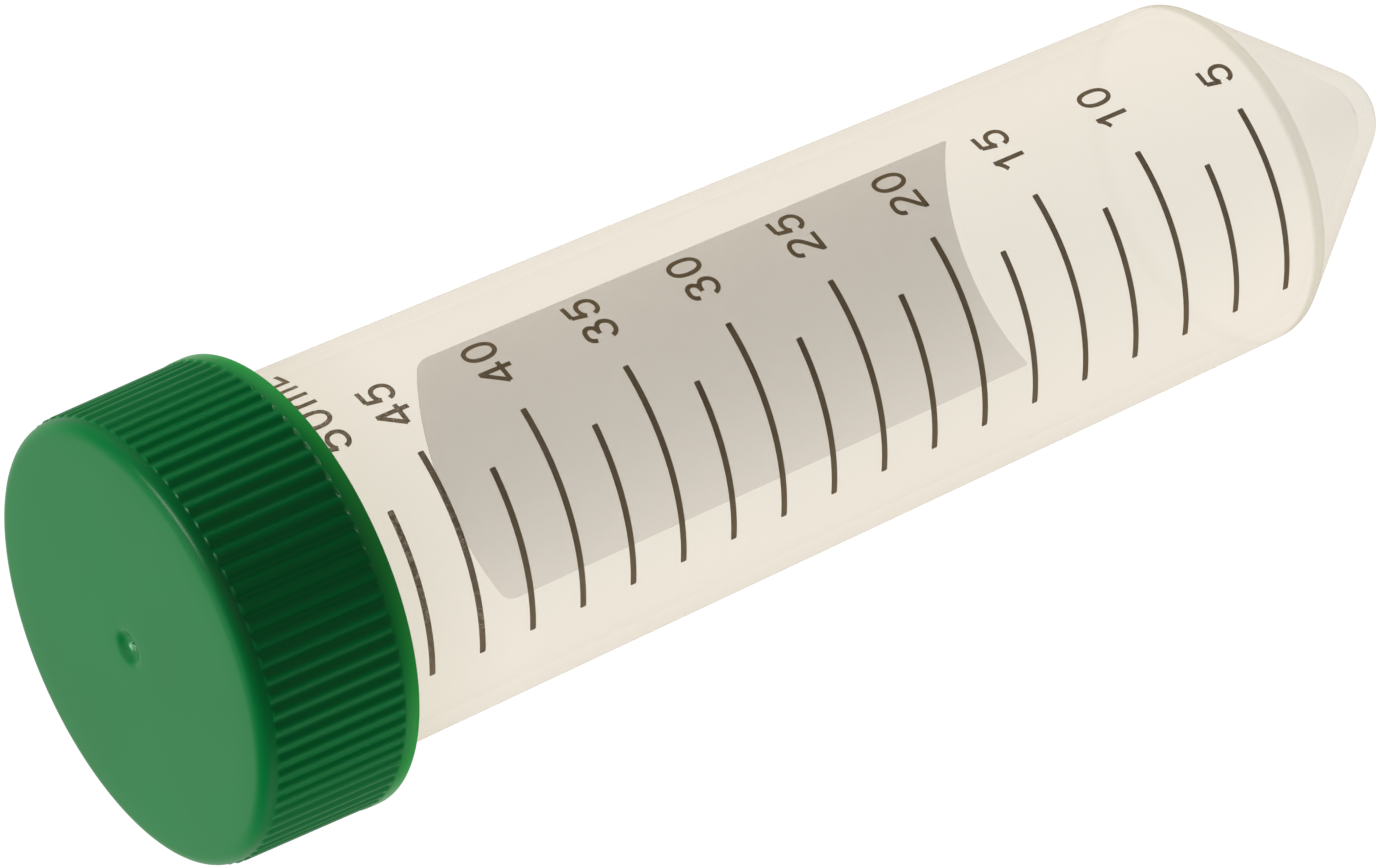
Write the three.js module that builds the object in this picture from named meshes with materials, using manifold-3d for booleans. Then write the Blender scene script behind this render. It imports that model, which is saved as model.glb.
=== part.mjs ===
// A 50 mL conical-bottom centrifuge tube with a screw cap and a loose seal liner.
// Millimetres. +Z runs up the tube's axis to the cap, and the origin is the centre of the tip's lowest ring.
import * as THREE from "three";
import { mergeVertices } from "three/addons/utils/BufferGeometryUtils.js";
import Module from "manifold-3d";

const wasm = await Module();
wasm.setup();

// Tube body: a rounded tip, a straight cone and a slightly tapered barrel
const TUBE_HEIGHT = 110.6;
const TIP_RADIUS = 4.25;
const CONE_SLOPE = 0.75; // radius gained for each millimetre of height
const SHOULDER_RADIUS = 13.7;
const SHOULDER_ROUNDING = 0.6;
const BARREL_SLOPE = 0.0105;
const WALL = 1.1;
const FLOOR_THICKNESS = 1.5;
const LIP_ROUNDING = 0.4;
const GATE_RECESS_RADIUS = 1.2;
const GATE_RECESS_DEPTH = 0.25;

// Screw thread, right-handed with one start, shared by the tube and the cap
const THREAD_PITCH = 3;
const THREAD_ROOT_HALF_WIDTH = 0.8;
const THREAD_CREST_HALF_WIDTH = 0.4;
const THREAD_EMBEDMENT = 0.3; // how far a ridge is sunk into its wall
const THREAD_RUN_OUT = 0.08; // share of a turn over which a ridge rises to full height
const THREAD_LEAST_RISE = 0.15; // share of the full height left at a ridge's very end
const THREAD_STEPS = 80; // facets in a turn, the same as AROUND so that ridge and wall meet on their edges
const TUBE_THREAD = { start: 103.4, turns: 1.85, wall: 14.7, crest: 15.45 };
const CAP_THREAD = { start: TUBE_THREAD.start + THREAD_PITCH / 2, turns: 1.4, wall: 15.72, crest: 15 };

// Screw cap: a flat top with a rounded edge, a ribbed skirt and a smooth rim band
const CAP_TOP = 114.1;
const CAP_RIM = 100.9;
const CAP_RIM_RADIUS = 17.42;
const CAP_SHOULDER_RADIUS = 17.2;
const CAP_EDGE_ROUNDING = 1;
const CAP_RIM_ROUNDING = 0.3;
const CAP_RIM_BAND = 1.2;
const CAP_TOP_THICKNESS = 1.7;
const CAP_MOUTH_CHAMFER = 0.45;
const RIB_COUNT = 80;
const RIB_DEPTH = 0.45;
const RIB_RECESS = 0.08; // how far the crests lie inside the smooth bands
const RIB_OVERLAP = 0.2; // how far the ribbed prism runs into each band
const RIB_CREST_SHARE = 0.36; // share of the rib spacing taken by the crest, and by the groove's floor
const RIB_FLOOR_SHARE = 0.3;
const CAP_DIMPLE_RADIUS = 1.4;
const CAP_DIMPLE_DEPTH = 0.4;
const CAP_DIMPLE_FLOOR_RADIUS = 0.9;

// Seal liner: a soft disc between the tube's lip and the underside of the cap's top
const REST_GAP = 0.3; // clearance kept between touching pieces
const LINER_RADIUS = 15.3;
const LINER_EDGE = 0.15;

const AROUND = 80; // facets round a turned surface
const ARC_STEPS = 3;

// Radius of the barrel's outer wall at a height
function barrelRadius(height) {
  return SHOULDER_RADIUS + BARREL_SLOPE * (height - shoulderHeight);
}

// Radius of the cap's crests and bands at a height
function capRadius(height) {
  const share = (height - CAP_RIM) / (CAP_TOP - CAP_RIM);
  return THREE.MathUtils.lerp(CAP_RIM_RADIUS, CAP_SHOULDER_RADIUS, share);
}

// Profile points on an arc, as (radius, height); angles in radians from the outward direction
function arc(centreRadius, centreHeight, radius, from, to) {
  const curve = new THREE.EllipseCurve(centreRadius, centreHeight, radius, radius, from, to, to < from);
  return curve.getPoints(ARC_STEPS);
}

function point(radius, height) {
  return new THREE.Vector2(radius, height);
}

// A profile of (radius, height) points, from the axis upwards and back to it, turned about Z
function turned(profile) {
  return new THREE.LatheGeometry(profile, AROUND).rotateX(Math.PI / 2);
}

function toManifold(geometry) {
  const bare = geometry.clone();
  bare.deleteAttribute("normal");
  bare.deleteAttribute("uv");
  const merged = mergeVertices(bare, 1e-4);
  return new wasm.Manifold(
    new wasm.Mesh({
      numProp: 3,
      vertProperties: new Float32Array(merged.getAttribute("position").array),
      triVerts: new Uint32Array(merged.index.array),
    }),
  );
}

function toGeometry(manifold) {
  const { vertProperties, triVerts } = manifold.getMesh();
  const geometry = new THREE.BufferGeometry();
  geometry.setAttribute("position", new THREE.BufferAttribute(vertProperties, 3));
  geometry.setIndex(new THREE.BufferAttribute(triVerts, 1));
  const faceted = geometry.toNonIndexed();
  faceted.computeVertexNormals();
  return faceted;
}

// A straight ridge of trapezoid section, wound round the axis on the thread's helix
function helicalRidge({ start, turns, wall, crest }) {
  const root = wall - THREAD_EMBEDMENT * Math.sign(crest - wall);
  const corners = [
    point(root, -THREAD_ROOT_HALF_WIDTH),
    point(crest, -THREAD_CREST_HALF_WIDTH),
    point(crest, THREAD_CREST_HALF_WIDTH),
    point(root, THREAD_ROOT_HALF_WIDTH),
  ];
  const ridge = new THREE.ExtrudeGeometry(new THREE.Shape(corners), {
    depth: turns,
    steps: Math.round(turns * THREAD_STEPS),
    bevelEnabled: false,
  });
  const position = ridge.getAttribute("position");
  for (let i = 0; i < position.count; i++) {
    const turn = position.getZ(i);
    const runOut = Math.min(1, turn / THREAD_RUN_OUT, (turns - turn) / THREAD_RUN_OUT);
    const radius = THREE.MathUtils.lerp(root, position.getX(i), Math.max(THREAD_LEAST_RISE, runOut));
    const angle = turn * 2 * Math.PI;
    // The section is symmetric, and turning it over here keeps the faces pointing outwards
    const height = start + turn * THREAD_PITCH - position.getY(i);
    position.setXYZ(i, radius * Math.cos(angle), radius * Math.sin(angle), height);
  }
  return toManifold(ridge);
}

function mesh(name, manifold, look) {
  const made = new THREE.Mesh(toGeometry(manifold), new THREE.MeshStandardMaterial(look));
  made.name = name;
  return made;
}

// The tip stands on the edge of its gate recess, and the cone touches the tip's sphere,
// so the sphere's centre, the cone's apex and the shoulder's height follow from the driving sizes
const tipCentre = Math.sqrt(TIP_RADIUS ** 2 - GATE_RECESS_RADIUS ** 2);
const coneAngle = Math.atan(CONE_SLOPE);
const coneApex = tipCentre - TIP_RADIUS / Math.sin(coneAngle);
const shoulderHeight = coneApex + SHOULDER_RADIUS / CONE_SLOPE;

function tubeBody() {
  const innerApex = coneApex + WALL / Math.sin(coneAngle);
  const innerTipRadius = (FLOOR_THICKNESS - innerApex) / (1 / Math.sin(coneAngle) - 1);
  const innerShoulderRadius = SHOULDER_RADIUS - WALL;
  const innerShoulderHeight = innerApex + innerShoulderRadius / CONE_SLOPE;
  const mouthRadius = barrelRadius(TUBE_HEIGHT);
  const shoulderTurn = Math.PI / 2 - coneAngle;
  const roundingSetback = SHOULDER_ROUNDING * Math.tan(shoulderTurn / 2);

  const outer = [
    point(0, GATE_RECESS_DEPTH),
    point(GATE_RECESS_RADIUS * 0.7, GATE_RECESS_DEPTH),
    ...arc(0, tipCentre, TIP_RADIUS, -Math.acos(GATE_RECESS_RADIUS / TIP_RADIUS), -coneAngle),
    ...arc(
      SHOULDER_RADIUS - SHOULDER_ROUNDING,
      shoulderHeight + roundingSetback,
      SHOULDER_ROUNDING,
      -coneAngle,
      0,
    ),
    ...arc(mouthRadius - LIP_ROUNDING, TUBE_HEIGHT - LIP_ROUNDING, LIP_ROUNDING, 0, Math.PI / 2),
    point(0, TUBE_HEIGHT),
  ];
  const cavity = [
    point(0, FLOOR_THICKNESS),
    ...arc(0, FLOOR_THICKNESS + innerTipRadius, innerTipRadius, -Math.PI / 2, -coneAngle).slice(1),
    point(innerShoulderRadius, innerShoulderHeight),
    point(mouthRadius - WALL, TUBE_HEIGHT),
    point(mouthRadius - WALL, TUBE_HEIGHT + 1),
    point(0, TUBE_HEIGHT + 1),
  ];
  return toManifold(turned(outer))
    .add(helicalRidge(TUBE_THREAD))
    .subtract(toManifold(turned(cavity)));
}

// The ribbed stretch of the skirt, a toothed prism that narrows towards the top
function ribbedSkirt(bottom, top) {
  const outline = [];
  for (let rib = 0; rib < RIB_COUNT; rib++) {
    const middle = rib + 0.5;
    for (const [offset, depth] of [
      [-0.5 + RIB_FLOOR_SHARE / 2, RIB_DEPTH],
      [-RIB_CREST_SHARE / 2, 0],
      [RIB_CREST_SHARE / 2, 0],
      [0.5 - RIB_FLOOR_SHARE / 2, RIB_DEPTH],
    ]) {
      const angle = ((middle + offset) / RIB_COUNT) * 2 * Math.PI;
      const radius = CAP_RIM_RADIUS - RIB_RECESS - depth;
      outline.push(point(radius * Math.cos(angle), radius * Math.sin(angle)));
    }
  }
  const skirt = new THREE.ExtrudeGeometry(new THREE.Shape(outline), {
    depth: top - bottom,
    bevelEnabled: false,
  }).translate(0, 0, bottom);
  const position = skirt.getAttribute("position");
  for (let i = 0; i < position.count; i++) {
    const scale = capRadius(position.getZ(i)) / CAP_RIM_RADIUS;
    position.setXY(i, position.getX(i) * scale, position.getY(i) * scale);
  }
  return toManifold(skirt);
}

function screwCap() {
  const bandTop = CAP_RIM + CAP_RIM_BAND;
  const edgeBottom = CAP_TOP - CAP_EDGE_ROUNDING;
  const edgeRadius = capRadius(edgeBottom);
  const top = [
    point(0, edgeBottom),
    point(edgeRadius, edgeBottom),
    ...arc(edgeRadius - CAP_EDGE_ROUNDING, edgeBottom, CAP_EDGE_ROUNDING, 0, Math.PI / 2).slice(1),
    point(CAP_DIMPLE_RADIUS, CAP_TOP),
    point(CAP_DIMPLE_FLOOR_RADIUS, CAP_TOP - CAP_DIMPLE_DEPTH),
    point(0, CAP_TOP - CAP_DIMPLE_DEPTH),
  ];
  const rim = [
    point(0, CAP_RIM),
    ...arc(
      CAP_RIM_RADIUS - CAP_RIM_ROUNDING,
      CAP_RIM + CAP_RIM_ROUNDING,
      CAP_RIM_ROUNDING,
      -Math.PI / 2,
      0,
    ),
    point(capRadius(bandTop), bandTop),
    point(0, bandTop),
  ];
  const ceiling = CAP_TOP - CAP_TOP_THICKNESS;
  const cavity = [
    point(0, CAP_RIM - 1),
    point(CAP_THREAD.wall + CAP_MOUTH_CHAMFER, CAP_RIM - 1),
    point(CAP_THREAD.wall + CAP_MOUTH_CHAMFER, CAP_RIM),
    point(CAP_THREAD.wall, CAP_RIM + CAP_MOUTH_CHAMFER),
    point(CAP_THREAD.wall, ceiling),
    point(0, ceiling),
  ];
  return toManifold(turned(top))
    .add(ribbedSkirt(bandTop - RIB_OVERLAP, edgeBottom + RIB_OVERLAP))
    .add(toManifold(turned(rim)))
    .subtract(toManifold(turned(cavity)))
    .add(helicalRidge(CAP_THREAD));
}

function sealLiner() {
  const bottom = TUBE_HEIGHT + REST_GAP;
  const top = CAP_TOP - CAP_TOP_THICKNESS - REST_GAP;
  const disc = [
    point(0, bottom),
    point(LINER_RADIUS - LINER_EDGE, bottom),
    point(LINER_RADIUS, bottom + LINER_EDGE),
    point(LINER_RADIUS, top - LINER_EDGE),
    point(LINER_RADIUS - LINER_EDGE, top),
    point(0, top),
  ];
  return toManifold(turned(disc));
}

const centrifugeTube = new THREE.Group();
centrifugeTube.add(
  mesh("tube_body", tubeBody(), {
    color: 0xece3d6,
    roughness: 0.35,
    metalness: 0,
    transparent: true,
    opacity: 0.5,
  }),
  mesh("screw_cap", screwCap(), { color: 0x0b6e2e, roughness: 0.4, metalness: 0 }),
  mesh("seal_liner", sealLiner(), { color: 0xf2f1ec, roughness: 0.6, metalness: 0 }),
);

export default centrifugeTube;
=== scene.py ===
import math

import bpy
import numpy as np
from mathutils import Matrix, Vector
from mathutils.geometry import delaunay_2d_cdt

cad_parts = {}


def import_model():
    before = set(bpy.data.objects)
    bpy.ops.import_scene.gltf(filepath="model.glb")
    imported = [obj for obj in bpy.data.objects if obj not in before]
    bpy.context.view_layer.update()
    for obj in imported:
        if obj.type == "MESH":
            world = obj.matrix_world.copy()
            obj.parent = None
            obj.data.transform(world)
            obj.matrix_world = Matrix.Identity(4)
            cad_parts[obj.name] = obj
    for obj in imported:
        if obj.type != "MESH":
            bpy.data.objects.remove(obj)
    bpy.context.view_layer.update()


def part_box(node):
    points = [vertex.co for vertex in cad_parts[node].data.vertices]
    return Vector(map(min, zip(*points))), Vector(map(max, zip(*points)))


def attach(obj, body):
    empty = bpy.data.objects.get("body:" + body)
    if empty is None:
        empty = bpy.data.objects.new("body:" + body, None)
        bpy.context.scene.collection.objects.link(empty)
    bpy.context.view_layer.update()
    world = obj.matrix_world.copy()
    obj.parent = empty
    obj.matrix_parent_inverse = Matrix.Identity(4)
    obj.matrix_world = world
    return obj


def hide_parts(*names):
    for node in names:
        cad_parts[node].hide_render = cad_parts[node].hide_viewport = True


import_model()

MM = 0.001

# ---------------------------------------------------------------- sizes that the looks share with the CAD
TUBE_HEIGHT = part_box("tube_body")[1].z / MM
CAP_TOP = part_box("screw_cap")[1].z / MM
CAP_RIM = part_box("screw_cap")[0].z / MM
CAP_RIM_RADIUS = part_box("screw_cap")[1].x / MM
LINER_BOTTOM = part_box("seal_liner")[0].z / MM
LINER_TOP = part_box("seal_liner")[1].z / MM
LINER_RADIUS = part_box("seal_liner")[1].x / MM

TIP_RADIUS = 4.25
CONE_SLOPE = 0.75
SHOULDER_RADIUS = 13.7
SHOULDER_ROUNDING = 0.6
BARREL_SLOPE = 0.0105
WALL = 1.1
FLOOR_THICKNESS = 1.5
LIP_ROUNDING = 0.4
GATE_RECESS_RADIUS = 1.2
GATE_RECESS_DEPTH = 0.25
GATE_NUB_RADIUS = 0.5
GATE_NUB_HEIGHT = 0.14

THREAD_PITCH = 3.0
THREAD_ROOT_HALF_WIDTH = 0.8
THREAD_CREST_HALF_WIDTH = 0.4
THREAD_RUN_OUT = 0.08
TUBE_THREAD_START = TUBE_HEIGHT - 7.2
TUBE_THREAD_TURNS = 1.85
TUBE_THREAD_CREST = 15.45
CAP_THREAD_START = TUBE_THREAD_START + THREAD_PITCH / 2
CAP_THREAD_TURNS = 1.4
CAP_THREAD_CREST = 15.0

CAP_WALL_INSIDE = 15.72
CAP_CEILING = CAP_TOP - 1.7
CAP_SHOULDER_RADIUS = 17.2
CAP_EDGE_ROUNDING = 1.1
CAP_EDGE_INSET = 0.22
CAP_CROWN_RADIUS = 13.6  # the face falls gently from here to its rounded edge
CAP_CROWN_DROP = 0.05
CAP_CROWN_ANGLE = math.radians(3)
CAP_RIM_ROUNDING = 0.35
CAP_MOUTH_CHAMFER = 0.45
CAP_BAND_TOP = CAP_RIM + 1.25
CAP_RIB_TOP = CAP_TOP - 1.22
RIB_COUNT = 80
RIB_DEPTH = 0.2
RIB_RECESS = 0.06

CONE_ANGLE = math.atan(CONE_SLOPE)
TIP_CENTRE = math.sqrt(TIP_RADIUS**2 - GATE_RECESS_RADIUS**2)
CONE_APEX = TIP_CENTRE - TIP_RADIUS / math.sin(CONE_ANGLE)
SHOULDER_HEIGHT = CONE_APEX + SHOULDER_RADIUS / CONE_SLOPE

TUBE_COLUMNS = 256
LINER_COLUMNS = 128


def barrel_radius(z):
    return SHOULDER_RADIUS + BARREL_SLOPE * (z - SHOULDER_HEIGHT)


def cap_radius(z):
    return CAP_RIM_RADIUS + (CAP_SHOULDER_RADIUS - CAP_RIM_RADIUS) * (z - CAP_RIM) / (CAP_TOP - CAP_RIM)


def smoothstep(x):
    x = np.clip(x, 0.0, 1.0)
    return x * x * (3 - 2 * x)


# ---------------------------------------------------------------- mesh making
def make_object(name, verts, faces, sharp_deg):
    """One smooth mesh object from points in millimetres and faces of any size, turned to face outwards.
    An edge between faces more than sharp_deg apart stays sharp."""
    verts = np.asarray(verts, float) * MM
    mesh = bpy.data.meshes.new(name)
    mesh.from_pydata(verts.tolist(), [], [tuple(int(i) for i in f) for f in faces])
    mesh.update()
    mesh.calc_loop_triangles()
    tris = np.array([t.vertices[:] for t in mesh.loop_triangles])
    a, b, c = verts[tris[:, 0]], verts[tris[:, 1]], verts[tris[:, 2]]
    if np.einsum("ij,ij->i", a, np.cross(b, c)).sum() < 0:
        mesh.flip_normals()
    mesh.polygons.foreach_set("use_smooth", [True] * len(mesh.polygons))
    mesh.set_sharp_from_angle(angle=math.radians(sharp_deg))
    obj = bpy.data.objects.new(name, mesh)
    bpy.context.scene.collection.objects.link(obj)
    return obj


def spread(points, columns):
    """A profile of (radius, height) points repeated round the axis, as radius and height tables."""
    radius, height = (np.array(values)[:, None] + np.zeros(columns) for values in zip(*points))
    return radius, height


def ring_shell(name, radius, height, angle, first, last, sharp_deg):
    """A closed skin of rings about Z. radius and height are rings by columns, angle is one value a column,
    and first and last are the heights of the two poles on the axis."""
    rings, columns = radius.shape
    points = np.stack([radius * np.cos(angle), radius * np.sin(angle), height], -1).reshape(-1, 3)
    verts = np.vstack([points, [[0, 0, first], [0, 0, last]]])
    pole_a, pole_b = rings * columns, rings * columns + 1
    here = np.arange(columns)
    after = (here + 1) % columns
    faces = []
    for r in range(rings - 1):
        low, high = r * columns, (r + 1) * columns
        faces += np.stack([low + here, low + after, high + after, high + here], -1).tolist()
    top = (rings - 1) * columns
    faces += np.stack([after, here, np.full(columns, pole_a)], -1).tolist()
    faces += np.stack([top + here, top + after, np.full(columns, pole_b)], -1).tolist()
    return make_object(name, verts, faces, sharp_deg)


def arc(cx, cz, r, start, end, steps):
    """Points (radius, height) on an arc, angles in radians from the outward direction."""
    return [(cx + r * math.cos(a), cz + r * math.sin(a)) for a in np.linspace(start, end, steps + 1)]


def refine(profile, longest):
    """Adds points to a (radius, height) profile so that no stretch is longer than the given length."""
    out = [profile[0]]
    for (r0, z0), (r1, z1) in zip(profile, profile[1:]):
        count = max(1, math.ceil(math.hypot(r1 - r0, z1 - z0) / longest))
        out += [(r0 + (r1 - r0) * k / count, z0 + (z1 - z0) * k / count) for k in range(1, count + 1)]
    return out


def ridge_share(z, angle, start, turns, reach):
    """How far a helical ridge stands up, 0 to 1, at heights z and angles. Its crest is rounded."""
    share = np.zeros(np.broadcast(z, angle).shape)
    for lap in range(math.ceil(turns) + 1):
        turn = angle / (2 * math.pi) + lap
        away = np.abs(z - (start + turn * THREAD_PITCH))
        flank = (reach - away) / (reach - THREAD_CREST_HALF_WIDTH)
        run_out = np.minimum((turn + 0.01) / THREAD_RUN_OUT, (turns + 0.01 - turn) / THREAD_RUN_OUT)
        share = np.maximum(share, smoothstep(flank) * smoothstep(run_out))
    return share


def dense_heights(first, last, step):
    """Heights from first to last, upwards or downwards, about step apart."""
    return np.linspace(first, last, max(2, int(round(abs(last - first) / step)) + 1))


# ---------------------------------------------------------------- the tube's shell
def build_tube():
    angle = np.linspace(0, 2 * math.pi, TUBE_COLUMNS, endpoint=False)
    mouth = barrel_radius(TUBE_HEIGHT)
    setback = SHOULDER_ROUNDING * math.tan((math.pi / 2 - CONE_ANGLE) / 2)
    thread_low = TUBE_THREAD_START - 1.1
    thread_high = TUBE_THREAD_START + TUBE_THREAD_TURNS * THREAD_PITCH + 1.1

    # The gate: a shallow round recess with the rounded stub of the gate in its middle
    gate = [(0.2, GATE_RECESS_DEPTH - GATE_NUB_HEIGHT)]
    gate += [(GATE_NUB_RADIUS - 0.1, GATE_RECESS_DEPTH - GATE_NUB_HEIGHT + 0.02)]
    gate += [(GATE_NUB_RADIUS, GATE_RECESS_DEPTH - 0.05), (GATE_NUB_RADIUS + 0.08, GATE_RECESS_DEPTH)]
    gate += [(GATE_RECESS_RADIUS * 0.7, GATE_RECESS_DEPTH)]
    gate += [(GATE_RECESS_RADIUS * 0.86, GATE_RECESS_DEPTH * 0.6)]
    tip = arc(0, TIP_CENTRE, TIP_RADIUS, -math.acos(GATE_RECESS_RADIUS / TIP_RADIUS), -CONE_ANGLE, 14)
    shoulder = arc(
        SHOULDER_RADIUS - SHOULDER_ROUNDING, SHOULDER_HEIGHT + setback, SHOULDER_ROUNDING, -CONE_ANGLE, 0, 6
    )
    lower = refine(tip + shoulder, 1.2)
    barrel = [(barrel_radius(z), z) for z in dense_heights(shoulder[-1][1] + 1.5, thread_low - 0.4, 2.0)]
    neck = [(barrel_radius(z), z) for z in dense_heights(thread_low, thread_high, 0.14)]
    lip = arc(mouth - LIP_ROUNDING, TUBE_HEIGHT - LIP_ROUNDING, LIP_ROUNDING, 0, math.pi / 2, 5)
    lip += arc(mouth - WALL + 0.25, TUBE_HEIGHT - 0.25, 0.25, math.pi / 2, math.pi, 4)

    inner_apex = CONE_APEX + WALL / math.sin(CONE_ANGLE)
    inner_tip = (FLOOR_THICKNESS - inner_apex) / (1 / math.sin(CONE_ANGLE) - 1)
    inner_shoulder = SHOULDER_RADIUS - WALL
    inner_height = inner_apex + inner_shoulder / CONE_SLOPE
    inside = [(mouth - WALL, TUBE_HEIGHT - 1.0)]
    blend = arc(inner_shoulder - 0.8, inner_height + 0.25, 0.8, 0, -CONE_ANGLE, 6)
    floor = arc(0, FLOOR_THICKNESS + inner_tip, inner_tip, -CONE_ANGLE, -math.pi / 2, 12)[:-1]
    inside = refine(inside + blend + floor, 2.0)

    profile = gate + lower + barrel + neck + lip + inside
    radius, height = spread(profile, TUBE_COLUMNS)
    first_neck = len(gate + lower + barrel)
    rows = slice(first_neck, first_neck + len(neck))
    rise = ridge_share(
        height[rows], angle, TUBE_THREAD_START, TUBE_THREAD_TURNS, THREAD_ROOT_HALF_WIDTH + 0.1
    )
    radius[rows] += rise * (TUBE_THREAD_CREST - radius[rows])
    shell = ring_shell(
        "tube_shell", radius, height, angle, GATE_RECESS_DEPTH - GATE_NUB_HEIGHT, FLOOR_THICKNESS, 50
    )
    # Marks the inner wall, which the material keeps clear so that the milkiness sits in one place
    marks = np.zeros(len(profile) * TUBE_COLUMNS + 2)
    marks[(len(profile) - len(inside)) * TUBE_COLUMNS : -2] = 1.0
    marks[-1] = 1.0
    shell.data.attributes.new("inner_wall", "FLOAT", "POINT").data.foreach_set("value", marks)
    return shell


# ---------------------------------------------------------------- the cap's shell
# Columns of one rib, as a share of the spacing from the crest's middle, and how deep the groove is there
RIB_COLUMNS = (
    (-0.5, 1.0), (-0.4, 0.9), (-0.3, 0.62), (-0.18, 0.2), (0.0, 0.0), (0.18, 0.2), (0.3, 0.62), (0.4, 0.9)
)


def build_cap():
    offsets = np.tile([c[0] for c in RIB_COLUMNS], RIB_COUNT)
    groove = np.tile([c[1] for c in RIB_COLUMNS], RIB_COUNT)
    rib = np.repeat(np.arange(RIB_COUNT), len(RIB_COLUMNS))
    angle = (rib + 0.5 + offsets) / RIB_COUNT * 2 * math.pi

    edge_low = CAP_TOP - CAP_EDGE_ROUNDING
    band = cap_radius(edge_low) - CAP_EDGE_INSET
    # Top: a sink mark with the ragged stub of the gate, then the flat face and its rounded edge
    top = [(0.16, CAP_TOP - 0.22), (0.26, CAP_TOP - 0.30), (0.36, CAP_TOP - 0.40), (0.6, CAP_TOP - 0.42)]
    top += [(0.9, CAP_TOP - 0.36), (1.15, CAP_TOP - 0.2), (1.35, CAP_TOP - 0.06), (1.55, CAP_TOP - 0.01)]
    top += [(1.8, CAP_TOP)]
    edge_start = band - CAP_EDGE_ROUNDING + CAP_EDGE_ROUNDING * math.sin(CAP_CROWN_ANGLE)
    top += [(r, CAP_TOP) for r in np.linspace(3, CAP_CROWN_RADIUS, 5)]
    for k in range(1, 8):
        share = k / 8
        r = CAP_CROWN_RADIUS + (edge_start - CAP_CROWN_RADIUS) * share
        top.append((r, CAP_TOP - CAP_CROWN_DROP * share**2))
    sunk = CAP_CROWN_DROP - CAP_EDGE_ROUNDING * (1 - math.cos(CAP_CROWN_ANGLE))
    top += arc(
        band - CAP_EDGE_ROUNDING, edge_low - sunk, CAP_EDGE_ROUNDING, math.pi / 2 - CAP_CROWN_ANGLE, 0, 9
    )
    # Skirt heights, close together where the grooves end
    ends_top = dense_heights(CAP_RIB_TOP + 0.02, CAP_RIB_TOP - 0.34, 0.04)
    middle = dense_heights(CAP_RIB_TOP - 0.9, CAP_BAND_TOP + 0.7, 2.2)
    ends_low = dense_heights(CAP_BAND_TOP + 0.26, CAP_BAND_TOP - 0.02, 0.04)
    skirt = np.concatenate([ends_top, middle, ends_low])
    rim = [(cap_radius(CAP_BAND_TOP - 0.4), CAP_BAND_TOP - 0.4)]
    rim += arc(
        CAP_RIM_RADIUS - CAP_RIM_ROUNDING, CAP_RIM + CAP_RIM_ROUNDING, CAP_RIM_ROUNDING, 0, -math.pi / 2, 6
    )
    mouth = CAP_WALL_INSIDE + CAP_MOUTH_CHAMFER
    rim += [(mouth + 0.1, CAP_RIM), (mouth, CAP_RIM + 0.04)]
    rim += [(CAP_WALL_INSIDE + 0.05, CAP_RIM + CAP_MOUTH_CHAMFER - 0.03)]
    thread_low = CAP_THREAD_START - 1.0
    thread_high = CAP_THREAD_START + CAP_THREAD_TURNS * THREAD_PITCH + 1.0
    bore = np.concatenate(
        [
            dense_heights(CAP_RIM + CAP_MOUTH_CHAMFER + 0.1, thread_low - 0.2, 0.9),
            dense_heights(thread_low, thread_high, 0.2),
            dense_heights(thread_high + 0.3, CAP_CEILING - 0.3, 0.9),
        ]
    )
    ceiling = arc(CAP_WALL_INSIDE - 0.3, CAP_CEILING - 0.3, 0.3, 0, math.pi / 2, 3)[1:]
    ceiling += [(r, CAP_CEILING) for r in np.linspace(13, 1.5, 5)]

    top_r, top_z = spread(top, len(angle))
    # The gate stub is not round
    ragged = 1 + 0.35 * np.sin(3 * angle + 0.7) + 0.2 * np.sin(7 * angle)
    for row in range(3):
        top_r[row] *= 1 + (ragged - 1) * 0.5

    skirt_z = skirt[:, None] + np.zeros(len(angle))
    crest = cap_radius(skirt_z) - RIB_RECESS
    # Near the top the crests stand proud of the smooth band; near the rim the grooves run up into it
    start = smoothstep((CAP_RIB_TOP - skirt_z) / 0.2)
    crest_r = band + (crest - band) * start
    floor_r = band + (crest - RIB_DEPTH - band) * smoothstep((CAP_RIB_TOP - skirt_z) / 0.3)
    low = smoothstep((CAP_BAND_TOP + 0.22 - skirt_z) / 0.22)
    floor_r = floor_r + (cap_radius(skirt_z) - floor_r) * low
    crest_r = crest_r + (cap_radius(skirt_z) - crest_r) * low
    skirt_r = crest_r + (floor_r - crest_r) * groove

    rim_r, rim_z = spread(rim, len(angle))
    bore_z = bore[:, None] + np.zeros(len(angle))
    rise = ridge_share(bore_z, angle, CAP_THREAD_START, CAP_THREAD_TURNS, THREAD_ROOT_HALF_WIDTH)
    bore_r = CAP_WALL_INSIDE + rise * (CAP_THREAD_CREST - CAP_WALL_INSIDE)
    ceil_r, ceil_z = spread(ceiling, len(angle))
    radius = np.vstack([top_r, skirt_r, rim_r, bore_r, ceil_r])
    height = np.vstack([top_z, skirt_z, rim_z, bore_z, ceil_z])
    return ring_shell("cap_shell", radius, height, angle, CAP_TOP - 0.2, CAP_CEILING, 50)


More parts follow.
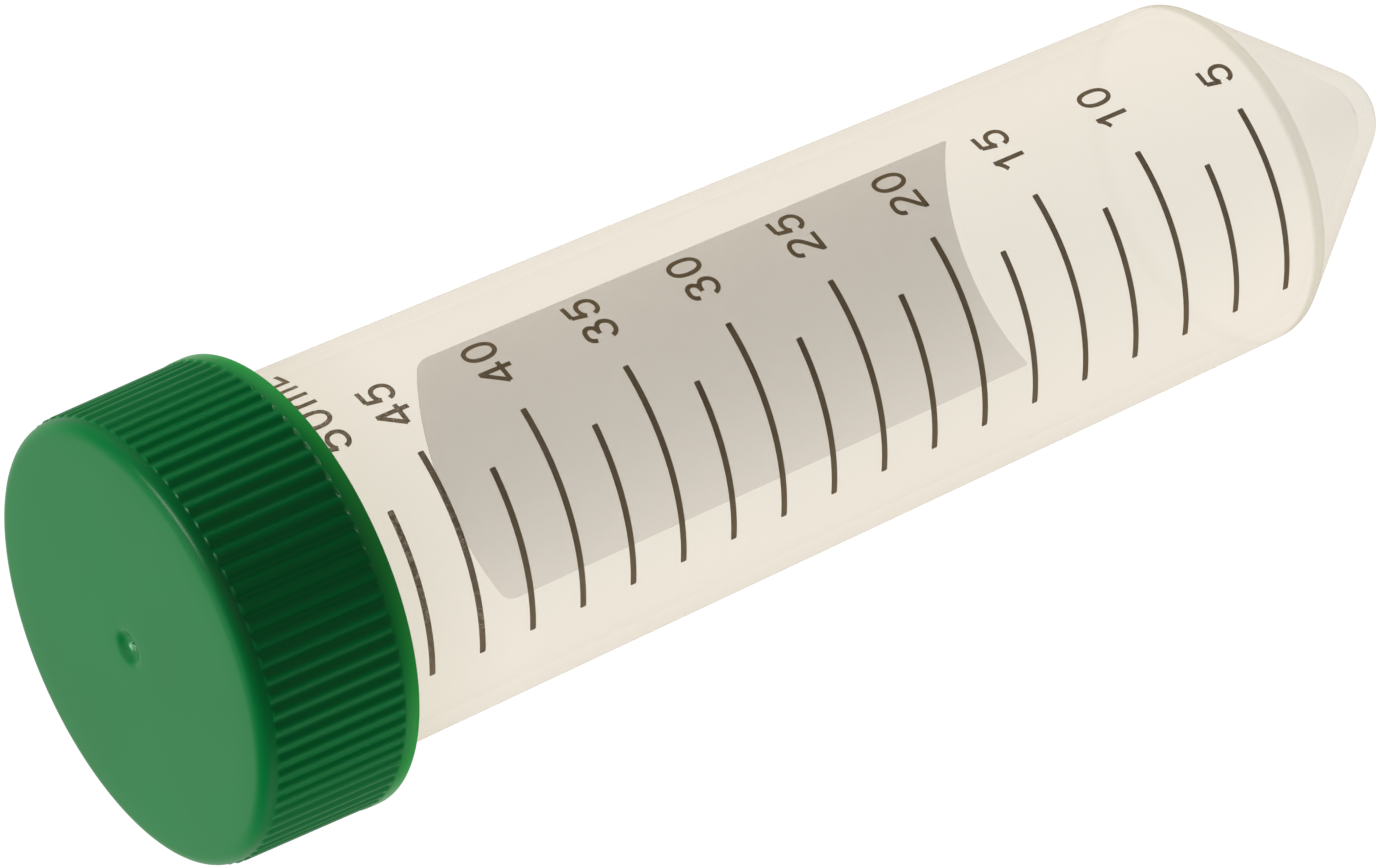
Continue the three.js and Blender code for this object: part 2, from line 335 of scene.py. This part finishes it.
# ---------------------------------------------------------------- the seal liner
def build_liner():
    angle = np.linspace(0, 2 * math.pi, LINER_COLUMNS, endpoint=False)
    edge = 0.2
    middle = LINER_TOP - edge
    profile = [(r, LINER_BOTTOM) for r in (2.0, 6.0, 10.0, 13.0, 13.4)]
    # A faint ring pressed in by the tube's lip
    profile += [(13.8, LINER_BOTTOM + 0.05), (14.4, LINER_BOTTOM + 0.05), (14.75, LINER_BOTTOM)]
    profile += arc(LINER_RADIUS - edge, LINER_BOTTOM + edge, edge, -math.pi / 2, 0, 5)
    profile += arc(LINER_RADIUS - edge, middle, edge, 0, math.pi / 2, 5)
    profile += [(r, LINER_TOP) for r in (12.0, 6.0, 2.0)]
    radius, height = spread(profile, LINER_COLUMNS)
    return ring_shell("liner_disc", radius, height, angle, LINER_BOTTOM, LINER_TOP, 60)


# ---------------------------------------------------------------- print on the tube
INK_SUNK = 0.01
INK_PROUD = 0.02
PRINT_SHARP_DEG = 40
LINE_WIDTH = 0.5
LINE_END_ROUNDING_DEG = 0.25
LINE_ROWS = (-0.5, -0.36, 0.0, 0.36, 0.5)  # heights across a line, as a share of its width
LINE_STEP_ML = 2.5
FIRST_LINE, LAST_LINE = 2, 20  # in steps: 5 mL and 50 mL
SCALE_ZERO = 18.92  # height of the 5 mL line
SCALE_BORE = 12.665  # radius of the bore at that line
LINE_STEP_DEG = 0.8
DRIFT_DEG = 0.04  # how far the print leans sideways for each millimetre of height
LINES_LEFT_DEG = -48.8
LONG_SPAN_DEG = 63.4
SHORT_SPAN_DEG = 51.2


def line_height(volume):
    """The height where the bore holds that many millilitres, from the 5 mL line upwards."""
    cube = (volume - 5) * 3000 * BARREL_SLOPE / math.pi + SCALE_BORE**3
    return SCALE_ZERO + (cube ** (1 / 3) - SCALE_BORE) / BARREL_SLOPE


def wrap(u_deg, z, lift):
    r = barrel_radius(z) + lift
    a = math.radians(u_deg)
    return (r * math.cos(a), r * math.sin(a), z)


def plate(grid, verts, faces):
    """Adds a closed plate over a grid (rows by columns) of (degrees, height) points wrapped on the tube."""
    rows, columns = len(grid), len(grid[0])
    base = len(verts)
    for lift in (INK_PROUD, -INK_SUNK):
        for row in grid:
            verts += [wrap(u, z, lift) for u, z in row]
    under = rows * columns

    def at(r, c, low):
        return base + r * columns + c + (under if low else 0)

    for r in range(rows - 1):
        for c in range(columns - 1):
            faces.append((at(r, c, 0), at(r, c + 1, 0), at(r + 1, c + 1, 0), at(r + 1, c, 0)))
            faces.append((at(r, c, 1), at(r + 1, c, 1), at(r + 1, c + 1, 1), at(r, c + 1, 1)))
    for c in range(columns - 1):
        faces.append((at(0, c, 1), at(0, c + 1, 1), at(0, c + 1, 0), at(0, c, 0)))
        faces.append((at(rows - 1, c, 0), at(rows - 1, c + 1, 0), at(rows - 1, c + 1, 1), at(rows - 1, c, 1)))
    end = columns - 1
    for r in range(rows - 1):
        faces.append((at(r, 0, 0), at(r + 1, 0, 0), at(r + 1, 0, 1), at(r, 0, 1)))
        faces.append((at(r, end, 1), at(r + 1, end, 1), at(r + 1, end, 0), at(r, end, 0)))


def build_lines():
    verts, faces = [], []
    for line in range(FIRST_LINE, LAST_LINE + 1):
        z = line_height(line * LINE_STEP_ML)
        left = LINES_LEFT_DEG + DRIFT_DEG * (z - SCALE_ZERO)
        span = LONG_SPAN_DEG if line % 2 == 0 else SHORT_SPAN_DEG
        count = math.ceil(span / LINE_STEP_DEG)
        grid = []
        for across in LINE_ROWS:
            past = max(0.0, abs(across) - LINE_ROWS[3]) / (LINE_ROWS[4] - LINE_ROWS[3])
            trim = LINE_END_ROUNDING_DEG * past
            degrees = np.linspace(left + trim, left + span - trim, count + 1)
            grid.append([(u, z + across * LINE_WIDTH) for u in degrees])
        plate(grid, verts, faces)
    return make_object("scale_lines", verts, faces, PRINT_SHARP_DEG)


# Glyph strokes in millimetres from the cell's lower left corner: C is a smooth curve through points,
# P a run of straight strokes, and R a closed loop
DIGIT_HEIGHT = 2.78
DIGIT_ADVANCE = 2.37
STROKE = 0.37
STRAIGHT_STEP = 0.25
CURVE_STEP = 0.16
LAST_LABEL_DROP = 11.7  # the 50 mL mark sits this far below the lip, clear of its line


def loop_points(cx, cy, rx, ry, steps=44, power=2.25):
    points = []
    for k in range(steps + 1):
        a = 2 * math.pi * k / steps
        c, s = math.cos(a), math.sin(a)
        x = math.copysign(abs(c) ** (2 / power), c)
        y = math.copysign(abs(s) ** (2 / power), s)
        points.append((cx + rx * x, cy + ry * y))
    return points


GLYPHS = {
    "0": [("R", loop_points(0.9, 1.39, 0.735, 1.225))],
    "1": [
        ("P", [(1.15, 0.0), (1.15, 2.72)]),
        ("C", [(1.15, 2.66), (1.0, 2.42), (0.72, 2.15), (0.33, 1.93)]),
    ],
    "2": [
        (
            "C",
            [(0.22, 1.92), (0.3, 2.3), (0.58, 2.56), (0.95, 2.615), (1.32, 2.54), (1.58, 2.28), (1.62, 1.9),
             (1.44, 1.52), (1.08, 1.15), (0.66, 0.77), (0.33, 0.42), (0.12, 0.17)],
        ),
        ("P", [(0.02, 0.165), (1.78, 0.165)]),
    ],
    "3": [
        (
            "C",
            [(0.22, 2.05), (0.33, 2.38), (0.58, 2.58), (0.9, 2.615), (1.24, 2.54), (1.46, 2.3), (1.48, 2.02),
             (1.32, 1.72), (1.05, 1.58), (0.72, 1.54)],
        ),
        (
            "C",
            [(0.72, 1.54), (1.05, 1.52), (1.38, 1.38), (1.6, 1.14), (1.64, 0.82), (1.5, 0.46), (1.22, 0.22),
             (0.9, 0.165), (0.56, 0.24), (0.3, 0.46), (0.2, 0.74)],
        ),
    ],
    "4": [
        ("P", [(1.3, 0.0), (1.3, 2.74)]),
        ("P", [(1.3, 2.68), (0.03, 0.86)]),
        ("P", [(0.0, 0.84), (1.84, 0.84)]),
    ],
    "5": [
        ("P", [(1.72, 2.575), (0.46, 2.575)]),
        ("P", [(0.46, 2.6), (0.22, 1.36)]),
        (
            "C",
            [(0.24, 1.38), (0.5, 1.62), (0.86, 1.72), (1.22, 1.66), (1.52, 1.42), (1.64, 1.02), (1.58, 0.6),
             (1.32, 0.28), (0.92, 0.165), (0.56, 0.22), (0.3, 0.42), (0.18, 0.72)],
        ),
    ],
    "m": [
        ("P", [(0.3, 0.0), (0.3, 2.0)]),
        ("C", [(0.3, 1.3), (0.44, 1.66), (0.76, 1.83), (1.12, 1.8), (1.42, 1.58), (1.5, 1.2)]),
        ("P", [(1.5, 1.24), (1.5, 0.0)]),
        ("C", [(1.5, 1.3), (1.64, 1.66), (1.96, 1.83), (2.32, 1.8), (2.62, 1.58), (2.7, 1.2)]),
        ("P", [(2.7, 1.24), (2.7, 0.0)]),
    ],
    "L": [("P", [(0.4, 0.0), (0.4, 2.74)]), ("P", [(0.4, 0.165), (1.95, 0.165)])],
}
ADVANCES = {"m": 3.42}
LABEL_LEFT_DEG = 24.4
LABEL_DRIFT_DEG = 0.0365


def curve_through(points, step):
    """A Catmull-Rom curve through the points, sampled at about the given step."""
    p = [np.array(q, float) for q in points]
    p = [2 * p[0] - p[1]] + p + [2 * p[-1] - p[-2]]
    out = []
    for a, b, c, d in zip(p, p[1:], p[2:], p[3:]):
        count = max(2, math.ceil(np.linalg.norm(c - b) / step))
        square, cube = 2 * a - 5 * b + 4 * c - d, 3 * b - a - 3 * c + d
        for k in range(count):
            t = k / count
            out.append(0.5 * (2 * b + (c - a) * t + square * t * t + cube * t**3))
    out.append(p[-2])
    return out


def straight(points, step):
    out = [np.array(points[0], float)]
    for a, b in zip(points, points[1:]):
        a, b = np.array(a, float), np.array(b, float)
        count = max(1, math.ceil(np.linalg.norm(b - a) / step))
        out += [a + (b - a) * k / count for k in range(1, count + 1)]
    return out


def ribbon(points, width, closed):
    """The quads of a band of even width along the points."""
    p = np.array(points)
    if closed:
        p = p[:-1]
        direction = np.roll(p, -1, 0) - np.roll(p, 1, 0)
    else:
        direction = np.gradient(p, axis=0)
    direction /= np.linalg.norm(direction, axis=1)[:, None]
    normal = np.stack([-direction[:, 1], direction[:, 0]], -1) * width / 2
    left, right = p + normal, p - normal
    n = len(p)
    pairs = [(k, (k + 1) % n) for k in range(n if closed else n - 1)]
    return [[left[a], right[a], right[b], left[b]] for a, b in pairs]


def glyph_triangles(strokes):
    """The union of a glyph's strokes as points and triangles in the plane."""
    quads = []
    for kind, points in strokes:
        path = points
        if kind == "P":
            path = straight(points, STRAIGHT_STEP)
        elif kind == "C":
            path = curve_through(points, CURVE_STEP)
        quads += ribbon([np.array(q, float) for q in path], STROKE, kind == "R")
    verts = [Vector(q) for quad in quads for q in quad]
    loops = [[4 * k, 4 * k + 1, 4 * k + 2, 4 * k + 3] for k in range(len(quads))]
    out_verts, _, out_faces, _, _, from_faces = delaunay_2d_cdt(verts, [], loops, 1, 1e-5)
    kept = [f for f, source in zip(out_faces, from_faces) if source]
    return [(v.x, v.y) for v in out_verts], kept


def add_glyph(points, triangles, origin_deg, baseline, verts, faces):
    """Wraps a flat glyph on the tube as a thin closed plate."""
    used = sorted({i for t in triangles for i in t})
    index = {old: k for k, old in enumerate(used)}
    base, count = len(verts), len(used)
    for lift in (INK_PROUD, -INK_SUNK):
        for i in used:
            x, y = points[i]
            z = baseline + y
            verts.append(wrap(origin_deg + math.degrees(x / barrel_radius(z)), z, lift))
    edges = {}
    for tri in triangles:
        a, b, c = (index[i] for i in tri)
        faces.append((base + a, base + b, base + c))
        faces.append((base + count + c, base + count + b, base + count + a))
        for e in ((a, b), (b, c), (c, a)):
            edges[e] = True
    for a, b in edges:
        if (b, a) not in edges:
            faces.append((base + b, base + a, base + count + a, base + count + b))


def build_numerals():
    flat = {key: glyph_triangles(strokes) for key, strokes in GLYPHS.items()}
    verts, faces = [], []
    for volume in range(5, 51, 5):
        text = str(volume) + ("mL" if volume == 50 else "")
        centre = line_height(volume)
        if volume == 50:
            centre = TUBE_HEIGHT - LAST_LABEL_DROP
        left = LABEL_LEFT_DEG + LABEL_DRIFT_DEG * (centre - SCALE_ZERO)
        baseline = centre - DIGIT_HEIGHT / 2
        pen = 0.0
        for key in text:
            points, triangles = flat[key]
            origin = left + math.degrees(pen / barrel_radius(centre))
            add_glyph(points, triangles, origin, baseline, verts, faces)
            pen += ADVANCES.get(key, DIGIT_ADVANCE)
    return make_object("scale_numerals", verts, faces, PRINT_SHARP_DEG)


PATCH_LEFT_DEG, PATCH_RIGHT_DEG = 131.4, 214.8
PATCH_LOW, PATCH_HIGH = 30.0, 79.1
PATCH_TOP_CORNER, PATCH_LOW_CORNER = 0.9, 0.25


def build_patch():
    heights = [PATCH_LOW + PATCH_LOW_CORNER * (1 - math.cos(a)) for a in np.linspace(0, math.pi / 2, 4)]
    heights += list(np.linspace(PATCH_LOW + 1.5, PATCH_HIGH - 2.2, 26))
    heights += [PATCH_HIGH - PATCH_TOP_CORNER * (1 - math.sin(a)) for a in np.linspace(0, math.pi / 2, 9)]
    columns = 120
    grid = []
    for z in heights:
        trim = 0.0
        for edge, corner in ((PATCH_LOW, PATCH_LOW_CORNER), (PATCH_HIGH, PATCH_TOP_CORNER)):
            depth = corner - abs(z - edge)
            if depth > 0:
                trim = corner - math.sqrt(max(0.0, corner**2 - depth**2))
        trim = math.degrees(trim / barrel_radius(z))
        low, high = PATCH_LEFT_DEG + trim, PATCH_RIGHT_DEG - trim
        grid.append([(low + (high - low) * k / columns, z) for k in range(columns + 1)])
    verts, faces = [], []
    plate(grid, verts, faces)
    return make_object("writing_patch", verts, faces, PRINT_SHARP_DEG)


# ---------------------------------------------------------------- materials
SPAN_SOCKETS = ("From Min", "From Max", "To Min", "To Max")


class Nodes:
    """A small helper round one material's node tree."""

    def __init__(self, name):
        self.material = bpy.data.materials.new(name)
        self.material.use_nodes = True
        self.tree = self.material.node_tree
        self.shader = self.tree.nodes["Principled BSDF"]
        self.coords = self.add("ShaderNodeTexCoord").outputs["Object"]

    def add(self, kind, **settings):
        node = self.tree.nodes.new(kind)
        for key, value in settings.items():
            setattr(node, key, value)
        return node

    def link(self, a, b):
        self.tree.links.new(a, b)

    def noise(self, scale, detail=3.0, roughness=0.5, stretch=None):
        node = self.add("ShaderNodeTexNoise")
        node.inputs["Scale"].default_value = scale
        node.inputs["Detail"].default_value = detail
        node.inputs["Roughness"].default_value = roughness
        source = self.coords
        if stretch:
            mapping = self.add("ShaderNodeMapping")
            mapping.inputs["Scale"].default_value = stretch
            self.link(source, mapping.inputs["Vector"])
            source = mapping.outputs["Vector"]
        self.link(source, node.inputs["Vector"])
        return node.outputs["Fac"]

    def span(self, value, low, high, to_low, to_high):
        node = self.add("ShaderNodeMapRange", clamp=True)
        for key, number in zip(SPAN_SOCKETS, (low, high, to_low, to_high)):
            node.inputs[key].default_value = number
        self.link(value, node.inputs["Value"])
        return node.outputs["Result"]

    def math(self, operation, a, b):
        node = self.add("ShaderNodeMath", operation=operation)
        for socket, value in zip(node.inputs, (a, b)):
            if isinstance(value, (int, float)):
                socket.default_value = value
            else:
                self.link(value, socket)
        return node.outputs["Value"]

    def mix(self, factor, a, b):
        node = self.add("ShaderNodeMix", data_type="RGBA")
        self.link(factor, node.inputs["Factor"])
        for socket, value in ((node.inputs["A"], a), (node.inputs["B"], b)):
            if isinstance(value, tuple):
                socket.default_value = (*value, 1)
            else:
                self.link(value, socket)
        return node.outputs["Result"]

    def axis(self, which):
        node = self.add("ShaderNodeSeparateXYZ")
        self.link(self.coords, node.inputs["Vector"])
        return node.outputs[which]

    def set(self, **values):
        for key, value in values.items():
            socket = self.shader.inputs[key.replace("_", " ")]
            if isinstance(value, (int, float)):
                socket.default_value = value
            elif isinstance(value, tuple):
                socket.default_value = (*value, 1) if socket.type == "RGBA" else value
            else:
                self.link(value, socket)

    def bump(self, height, distance):
        node = self.add("ShaderNodeBump")
        node.inputs["Distance"].default_value = distance
        self.link(height, node.inputs["Height"])
        self.link(node.outputs["Normal"], self.shader.inputs["Normal"])


def see_through(n, tint, share):
    """Mixes the shader with clear tinted plastic. share is how much of its own colour shows."""
    clear = n.add("ShaderNodeBsdfTransparent")
    if isinstance(tint, tuple):
        clear.inputs["Color"].default_value = (*tint, 1)
    else:
        n.link(tint, clear.inputs["Color"])
    both = n.add("ShaderNodeMixShader")
    if isinstance(share, (int, float)):
        both.inputs["Fac"].default_value = share
    else:
        n.link(share, both.inputs["Fac"])
    n.link(clear.outputs["BSDF"], both.inputs[1])
    n.link(n.shader.outputs["BSDF"], both.inputs[2])
    n.link(both.outputs["Shader"], n.tree.nodes["Material Output"].inputs["Surface"])


# What light keeps on its way through the outer skin of the tube
OUTER_TINT = (0.957, 0.928, 0.875)
CONE_TINT = (0.956, 0.934, 0.892)
# Painted shade: the tint up by the cap stands in for the cap's shadow on the tube
PAINTED_CAP_SHADE_TINT = (0.874, 0.844, 0.767)
# Painted shade: the shoulder tint stands in for the dark band that refraction draws at the shoulder's corner
PAINTED_SHOULDER_SHADE_TINT = (0.765, 0.745, 0.668)


def tube_material():
    n = Nodes("tube_plastic")
    inner = n.add("ShaderNodeAttribute", attribute_name="inner_wall").outputs["Fac"]
    height = n.axis("Z")
    cloud = n.noise(45.0, 3.0)
    streak = n.noise(120.0, 2.0, stretch=(1.0, 1.0, 0.12))
    tone = n.math("ADD", n.math("MULTIPLY", cloud, 0.7), n.math("MULTIPLY", streak, 0.3))
    colour = n.mix(n.span(tone, 0.35, 0.65, 0.0, 1.0), (0.80, 0.72, 0.60), (0.86, 0.79, 0.68))
    n.set(Base_Color=colour, Roughness=n.span(n.noise(300.0, 4.0), 0.3, 0.7, 0.2, 0.27), IOR=1.49)
    n.bump(n.noise(160.0, 2.0, stretch=(1.0, 1.0, 0.3)), 0.00005)
    facing = n.add("ShaderNodeLayerWeight")
    facing.inputs["Blend"].default_value = 0.5
    rim = n.math("POWER", facing.outputs["Facing"], 4.0)
    milk = n.math("ADD", n.math("MULTIPLY", rim, 0.22), n.span(cloud, 0.3, 0.7, 0.085, 0.11))
    milk = n.math("MULTIPLY", milk, n.span(inner, 0.0, 1.0, 1.0, 0.08))
    # The see-through tint is a little paler and less yellow in the cone and its tip. Painted shade darkens it
    # round the shoulder, on the front side only, and up by the cap
    cone = n.span(height, 0.001, 0.6 * SHOULDER_HEIGHT * MM, 1.0, 0.25)
    below = n.span(height, SHOULDER_HEIGHT * MM, (SHOULDER_HEIGHT + 0.5) * MM, 1.0, 0.0)
    cone = n.math("MULTIPLY", cone, below)
    # Painted shade: the tint darkens over the last 10 mm below the cap's rim, standing in for the cap's
    # shadow
    painted_cap_shade = n.span(height, (CAP_RIM - 10) * MM, CAP_RIM * MM, 0.0, 1.0)
    # Painted shade: a darker band round the shoulder, faded out towards the back (-X), standing in for
    # refraction through the shoulder's corner
    shoulder = n.span(height, (SHOULDER_HEIGHT - 0.5) * MM, (SHOULDER_HEIGHT - 0.1) * MM, 0.0, 1.0)
    above = n.span(height, (SHOULDER_HEIGHT + 0.7) * MM, (SHOULDER_HEIGHT + 1.15) * MM, 1.0, 0.0)
    shoulder = n.math("MULTIPLY", shoulder, above)
    shoulder = n.math("MULTIPLY", shoulder, n.span(n.axis("X"), -0.002, 0.005, 0.08, 1.0))
    tint = n.mix(cone, OUTER_TINT, CONE_TINT)
    tint = n.mix(painted_cap_shade, tint, PAINTED_CAP_SHADE_TINT)
    tint = n.mix(shoulder, tint, PAINTED_SHOULDER_SHADE_TINT)
    floor = n.span(height, FLOOR_THICKNESS * MM, (FLOOR_THICKNESS + 2.2) * MM, 1.0, 0.0)
    tint = n.mix(inner, tint, n.mix(floor, (1.0, 1.0, 1.0), (0.955, 0.95, 0.95)))
    see_through(n, tint, milk)
    return n.material


def cap_material():
    n = Nodes("cap_plastic")
    cloud = n.noise(60.0, 2.0)
    base = n.mix(n.span(cloud, 0.3, 0.7, 0.0, 1.0), (0.001, 0.174, 0.037), (0.002, 0.190, 0.041))
    # Painted light: the green turns brighter and yellower towards the rim, standing in for light shining
    # through the thin rim band
    rim = n.span(n.axis("Z"), CAP_RIM * MM, (CAP_BAND_TOP + 0.3) * MM, 1.0, 0.0)
    colour = n.mix(n.math("POWER", rim, 0.9), base, (0.035, 0.46, 0.072))
    # The stub of the gate, in the middle of the face, has gone white where it was twisted off
    x, y = n.axis("X"), n.axis("Y")
    off_axis = n.math("ADD", n.math("MULTIPLY", x, x), n.math("MULTIPLY", y, y))
    stub = n.span(off_axis, (0.25 * MM) ** 2, (0.55 * MM) ** 2, 1.0, 0.0)
    stub = n.math("MULTIPLY", stub, n.span(n.axis("Z"), (CAP_TOP - 0.8) * MM, (CAP_TOP - 0.6) * MM, 0.0, 1.0))
    stub = n.math("MULTIPLY", stub, n.span(n.noise(2600.0, 2.0), 0.44, 0.56, 0.0, 1.0))
    colour = n.mix(stub, colour, (0.28, 0.60, 0.36))
    # A finer, wider change of roughness gives small dark marks once denoised
    n.set(Base_Color=colour, Roughness=n.span(cloud, 0.3, 0.7, 0.29, 0.31), IOR=1.43)
    return n.material


def liner_material():
    n = Nodes("liner_foam")
    cells = n.noise(1400.0, 3.0, 0.6)
    colour = n.mix(cells, (0.82, 0.81, 0.77), (0.92, 0.91, 0.88))
    n.set(Base_Color=colour, Roughness=n.span(cells, 0.3, 0.7, 0.55, 0.75), Subsurface_Weight=0.1)
    n.shader.inputs["Subsurface Radius"].default_value = (0.001, 0.001, 0.0008)
    n.bump(cells, 0.00006)
    return n.material


def ink_material():
    n = Nodes("scale_ink")
    grain = n.noise(2600.0, 3.0, 0.7)
    # The ink is worn thin towards the cap, where fingers hold the tube
    wear = n.span(n.axis("Z"), 0.078, 0.096, 0.0, 1.0)
    speckle = n.span(grain, 0.42, 0.66, 0.0, 1.0)
    thin = n.math("MULTIPLY", wear, n.span(n.noise(150.0, 2.0), 0.35, 0.6, 0.25, 1.0))
    worn = n.math("MULTIPLY", speckle, thin)
    colour = n.mix(worn, (0.155, 0.098, 0.040), (0.24, 0.18, 0.12))
    n.set(Base_Color=colour, Roughness=n.span(grain, 0.3, 0.7, 0.45, 0.6))
    n.bump(grain, 0.00002)
    # Light from behind shows through the film of ink, which has two faces
    see_through(n, (1.0, 0.95, 0.88), n.span(worn, 0.0, 1.0, 0.72, 0.56))
    return n.material


def patch_material():
    n = Nodes("patch_ink")
    mottle = n.noise(60.0, 2.0)
    colour = n.mix(n.span(mottle, 0.3, 0.7, 0.0, 1.0), (0.87, 0.865, 0.85), (0.84, 0.835, 0.82))
    n.set(Base_Color=colour, Roughness=n.span(mottle, 0.3, 0.7, 0.75, 0.8))
    # Painted light: the print is made more see-through and paler towards -Y, standing in for light falling
    # off across it. Its share stays at about a quarter or less, because a higher share gives a false edge
    # across it once denoised
    painted_light_falloff = n.span(n.axis("Y"), -0.0075, 0.010, 0.0, 1.0)
    painted_light_cover = n.span(painted_light_falloff, 0.0, 1.0, 0.28, 0.96)
    tint = n.mix(painted_light_falloff, (0.941, 0.935, 0.934), (0.898, 0.892, 0.891))
    see_through(n, tint, n.math("MULTIPLY", painted_light_cover, n.span(mottle, 0.3, 0.7, 0.248, 0.262)))
    return n.material


def finish_piece(obj, material, body, slot, *nodes):
    obj.data.materials.append(material)
    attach(obj, body)
    if nodes:
        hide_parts(*nodes)


print_ink = ink_material()
finish_piece(build_tube(), tube_material(), "tube", "tube_plastic", "tube_body")
finish_piece(build_cap(), cap_material(), "cap", "cap_plastic", "screw_cap")
finish_piece(build_liner(), liner_material(), "liner", "liner_foam", "seal_liner")
finish_piece(build_lines(), print_ink, "tube", "scale_ink")
finish_piece(build_numerals(), print_ink, "tube", "scale_ink")
finish_piece(build_patch(), patch_material(), "tube", "patch_ink")


# ---------------------------------------------------------------- stage, light and camera
FLOOR_SIZE = 6.0
FLOOR_DROP = 0.0005
DOME_RADIUS = 2.9
STAGE_GLOW = 1.037  # just over white, so that floor and backdrop meet without a horizon

# The sky glows behind the object, seen from the photograph's side, and is dim elsewhere
SKY_TOWARDS = (-1.0, 0.0, 0.0)
SKY_COLOUR = (1.0, 0.985, 0.96)
SKY_SPAN = (0.5, 0.93, 0.04, 0.58)

# name: direction it comes from, distance, width and height in metres, power in watts
SOFTBOXES = {
    "top": ((-0.3, 0.1, 0.95), 1.5, 1.2, 1.2, 25.0),
    "left": ((-0.25, -1.0, -0.1), 1.5, 1.2, 1.2, 22.0),
    "right": ((-0.25, 1.0, -0.1), 1.5, 1.2, 1.2, 22.5),
    "back": ((-1.0, 0.0, -0.2), 1.5, 1.5, 1.5, 10.0),
    "front": ((1.0, 0.0, 0.1), 1.5, 1.2, 1.2, 4.6),
}
GLOSS_STRIP = ((0.275, 0.535, 0.798), 1.2, 0.7, 0.1, 3.2)

# The photograph's viewing angle, with the camera rolled on its side
CAMERA_ELEVATION, CAMERA_AZIMUTH, CAMERA_ROLL = (math.radians(a) for a in (28.398, 0.236, 113.841))
CAMERA_DISTANCE = 0.60597
CAMERA_AIM_Y, CAMERA_AIM_RISE = -0.00219, 0.00878
CAMERA_LENS = 215.154
CAMERA_SENSOR = 36.0


def glowing_material(name):
    material = bpy.data.materials.new(name)
    material.use_nodes = True
    shader = material.node_tree.nodes["Principled BSDF"]
    shader.inputs["Base Color"].default_value = (0, 0, 0, 1)
    shader.inputs["Roughness"].default_value = 0.9
    shader.inputs["Specular IOR Level"].default_value = 0.0
    shader.inputs["Emission Color"].default_value = (1, 1, 1, 1)
    shader.inputs["Emission Strength"].default_value = STAGE_GLOW
    return material


def only_for_camera(obj):
    obj.visible_diffuse = False
    obj.visible_glossy = False
    obj.visible_transmission = False
    obj.visible_volume_scatter = False
    obj.visible_shadow = False


def stage():
    bpy.ops.mesh.primitive_plane_add(size=FLOOR_SIZE, location=(0, 0, -FLOOR_DROP))
    floor = bpy.context.object
    floor.name = "stage_floor"
    floor.data.materials.append(glowing_material("stage_floor"))
    only_for_camera(floor)
    bpy.ops.mesh.primitive_uv_sphere_add(radius=DOME_RADIUS, segments=64, ring_count=32)
    dome = bpy.context.object
    dome.name = "stage_backdrop"
    dome.data.materials.append(glowing_material("stage_backdrop"))
    only_for_camera(dome)


def world():
    w = bpy.data.worlds.new("world")
    bpy.context.scene.world = w
    w.use_nodes = True
    tree = w.node_tree
    background = tree.nodes["Background"]
    coords = tree.nodes.new("ShaderNodeTexCoord")
    dot = tree.nodes.new("ShaderNodeVectorMath")
    dot.operation = "DOT_PRODUCT"
    dot.inputs[1].default_value = SKY_TOWARDS
    tree.links.new(coords.outputs["Generated"], dot.inputs[0])
    span = tree.nodes.new("ShaderNodeMapRange")
    span.interpolation_type = "SMOOTHSTEP"
    for key, number in zip(SPAN_SOCKETS, SKY_SPAN):
        span.inputs[key].default_value = number
    tree.links.new(dot.outputs["Value"], span.inputs["Value"])
    background.inputs["Color"].default_value = (*SKY_COLOUR, 1)
    tree.links.new(span.outputs["Result"], background.inputs["Strength"])


def softbox(name, direction, distance, width, height, power):
    """A soft rectangular light aimed at the part. It lights surfaces but isn't mirrored in them."""
    light = bpy.data.lights.new(name, "AREA")
    light.shape = "RECTANGLE"
    light.size = width
    light.size_y = height
    light.energy = power
    obj = bpy.data.objects.new(name, light)
    bpy.context.scene.collection.objects.link(obj)
    d = Vector(direction).normalized()
    obj.location = part_middle + d * distance
    obj.rotation_euler = (-d).to_track_quat("-Z", "Y").to_euler()
    obj.visible_glossy = False
    return obj


def camera():
    aim = Vector((0.0, CAMERA_AIM_Y, part_middle.z + CAMERA_AIM_RISE))
    level = math.cos(CAMERA_ELEVATION)
    back = Vector(
        (level * math.cos(CAMERA_AZIMUTH), level * math.sin(CAMERA_AZIMUTH), math.sin(CAMERA_ELEVATION))
    )
    forward = -back
    upright = (Vector((0, 0, 1)) - forward * forward.z).normalized()
    up = upright * math.cos(CAMERA_ROLL) + forward.cross(upright) * math.sin(CAMERA_ROLL)
    right = forward.cross(up)
    data = bpy.data.cameras.new("camera")
    data.lens = CAMERA_LENS
    data.sensor_width = CAMERA_SENSOR
    data.sensor_fit = "HORIZONTAL"
    data.clip_start = 0.01
    obj = bpy.data.objects.new("camera", data)
    bpy.context.scene.collection.objects.link(obj)
    turn = Matrix((right, up, -forward)).transposed().to_4x4()
    obj.matrix_world = Matrix.Translation(aim + back * CAMERA_DISTANCE) @ turn
    bpy.context.scene.camera = obj


part_middle = (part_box("tube_body")[0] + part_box("screw_cap")[1]) / 2
stage()
world()
for box_name, box in SOFTBOXES.items():
    softbox(box_name, *box)
# The one light that is mirrored: it draws the highlights on the cap
strip = softbox("strip", *GLOSS_STRIP)
strip.visible_glossy = True
strip.visible_diffuse = False
camera()
scene = bpy.context.scene
scene.view_settings.view_transform = "Standard"
scene.cycles.transparent_max_bounces = 24  # the tube's walls and the print lie many layers deep
